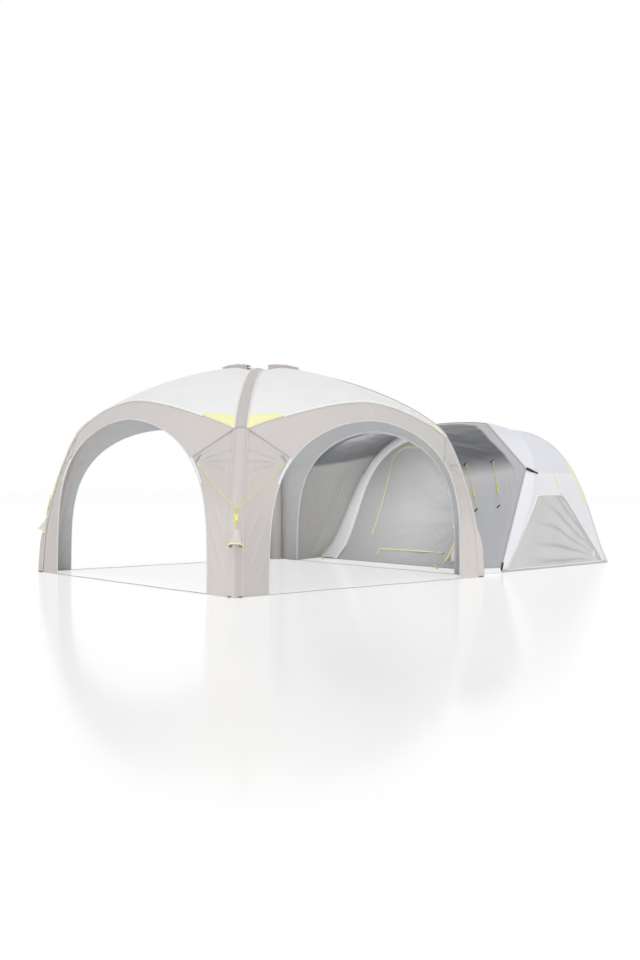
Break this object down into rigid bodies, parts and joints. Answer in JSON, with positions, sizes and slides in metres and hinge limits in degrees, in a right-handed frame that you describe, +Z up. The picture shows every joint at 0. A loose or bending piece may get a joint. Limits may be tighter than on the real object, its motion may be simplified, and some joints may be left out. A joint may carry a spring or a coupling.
{
  "type": "tent",
  "caption": "Square inflatable shelter on air-beam legs with yellow gussets and guy-lines, joined by a dark tunnel connector to a pale inflatable dome tent",
  "frame": {"origin": "under the middle of the whole object, on the ground", "axes": "+X runs from the shelter's open end towards the tent, +Y is the left side seen from that end, +Z is up"},
  "size_m": [6.833, 3.766, 2.4287],
  "materials": {
    "bladder": "matte",
    "sleeve_fabric": "woven",
    "roof_fabric": "woven",
    "taupe_fabric": "woven",
    "webbing": "woven",
    "yellow_cord": "braided",
    "yellow_plastic": "gloss",
    "yellow_fabric": "woven",
    "black_plastic": "satin",
    "fly_fabric": "woven",
    "window_film": "fine mesh",
    "wall_fabric": "woven",
    "groundsheet_fabric": "coated",
    "tunnel_fabric": "woven"
  },
  "bodies": {
    "shelter_and_tent": {"air_beam_diagonal": "bladder", "air_beam_left": "bladder", "air_beam_right": "bladder", "beam_sleeve_diagonal": "sleeve_fabric", "beam_sleeve_left": "sleeve_fabric", "beam_sleeve_right": "sleeve_fabric", "roof_gore_front": "roof_fabric", "arch_valance_front": "taupe_fabric", "ground_strap_front": "webbing", "roof_gore_right": "roof_fabric", "arch_valance_right": "taupe_fabric", "ground_strap_right": "webbing", "roof_gore_rear": "roof_fabric", "arch_valance_rear": "taupe_fabric", "ground_strap_rear": "webbing", "roof_gore_left": "roof_fabric", "arch_valance_left": "taupe_fabric", "ground_strap_left": "webbing", "leg_wrap_front_right": "taupe_fabric", "corner_gusset_front_right": "yellow_fabric", "leg_wrap_rear_right": "taupe_fabric", "corner_gusset_rear_right": "yellow_fabric", "leg_wrap_rear_left": "taupe_fabric", "corner_gusset_rear_left": "yellow_fabric", "leg_wrap_front_left": "taupe_fabric", "corner_gusset_front_left": "yellow_fabric", "leg_pocket_front_right": "taupe_fabric", "leg_guyline_front_right": "yellow_cord", "leg_pocket_front_left": "taupe_fabric", "leg_guyline_front_left": "yellow_cord", "inflation_valve": "black_plastic", "tent_fly": "fly_fabric", "side_window_right": "window_film", "side_window_left": "window_film", "front_wall": "wall_fabric", "rear_wall": "fly_fabric", "tent_beam_front": "bladder", "tent_beam_rear": "bladder", "groundsheet": "groundsheet_fabric", "connector_tunnel": "tunnel_fabric", "shoulder_buckle_right": "black_plastic", "shoulder_buckle_left": "black_plastic", "connector_guyline_front": "yellow_cord", "connector_guyline_rear": "yellow_cord"},
    "vent_hood_body_front": {"vent_hood_front": "roof_fabric"},
    "vent_hood_body_right": {"vent_hood_right": "roof_fabric"},
    "vent_hood_body_rear": {"vent_hood_rear": "roof_fabric"},
    "vent_hood_body_left": {"vent_hood_left": "roof_fabric"},
    "leg_runner_body_front_right": {"leg_runner_front_right": "yellow_plastic"},
    "leg_runner_body_front_left": {"leg_runner_front_left": "yellow_plastic"},
    "connector_runner_body_front": {"connector_runner_front": "yellow_plastic"},
    "connector_runner_body_rear": {"connector_runner_rear": "yellow_plastic"},
    "door_body": {"tent_door": "wall_fabric"},
    "zip_slider_body": {"zip_slider": "yellow_plastic"}
  },
  "joints": [
    {"name": "vent_hood_hinge_front", "type": "hinge", "parent": "shelter_and_tent", "child": "vent_hood_body_front", "pos_m": [-1.73348, 0, 2.38456], "axis": [0, 1, 0], "range_deg": [-10, 25]},
    {"name": "vent_hood_hinge_right", "type": "hinge", "parent": "shelter_and_tent", "child": "vent_hood_body_right", "pos_m": [-1.53348, -0.2, 2.38456], "axis": [-1, 0, 0], "range_deg": [-10, 25]},
    {"name": "vent_hood_hinge_rear", "type": "hinge", "parent": "shelter_and_tent", "child": "vent_hood_body_rear", "pos_m": [-1.33348, 0, 2.38456], "axis": [0, -1, 0], "range_deg": [-10, 25]},
    {"name": "vent_hood_hinge_left", "type": "hinge", "parent": "shelter_and_tent", "child": "vent_hood_body_left", "pos_m": [-1.53348, 0.2, 2.38456], "axis": [1, 0, 0], "range_deg": [-10, 25]},
    {"name": "leg_runner_slide_front_right", "type": "slide", "parent": "shelter_and_tent", "child": "leg_runner_body_front_right", "axis": [0.1596, 0.1596, 0.9742], "range_m": [-0.025, 0.045]},
    {"name": "leg_runner_slide_front_left", "type": "slide", "parent": "shelter_and_tent", "child": "leg_runner_body_front_left", "axis": [0.1596, -0.1596, 0.9742], "range_m": [-0.025, 0.045]},
    {"name": "connector_runner_slide_front", "type": "slide", "parent": "shelter_and_tent", "child": "connector_runner_body_front", "axis": [0.1001, 0.3761, 0.9212], "range_m": [-0.06, 0.28]},
    {"name": "connector_runner_slide_rear", "type": "slide", "parent": "shelter_and_tent", "child": "connector_runner_body_rear", "axis": [0.214, 0.3496, 0.9121], "range_m": [-0.06, 0.28]},
    {"name": "door_hinge", "type": "hinge", "parent": "shelter_and_tent", "child": "door_body", "pos_m": [1.06542, -0.6, 0.14747], "axis": [0.4668, 0, 0.8844], "range_deg": [0, 12]},
    {"name": "zip_slide", "type": "slide", "parent": "door_body", "child": "zip_slider_body", "axis": [0.5148, 0.0923, 0.8523], "range_m": [0, 0.22]}
  ]
}
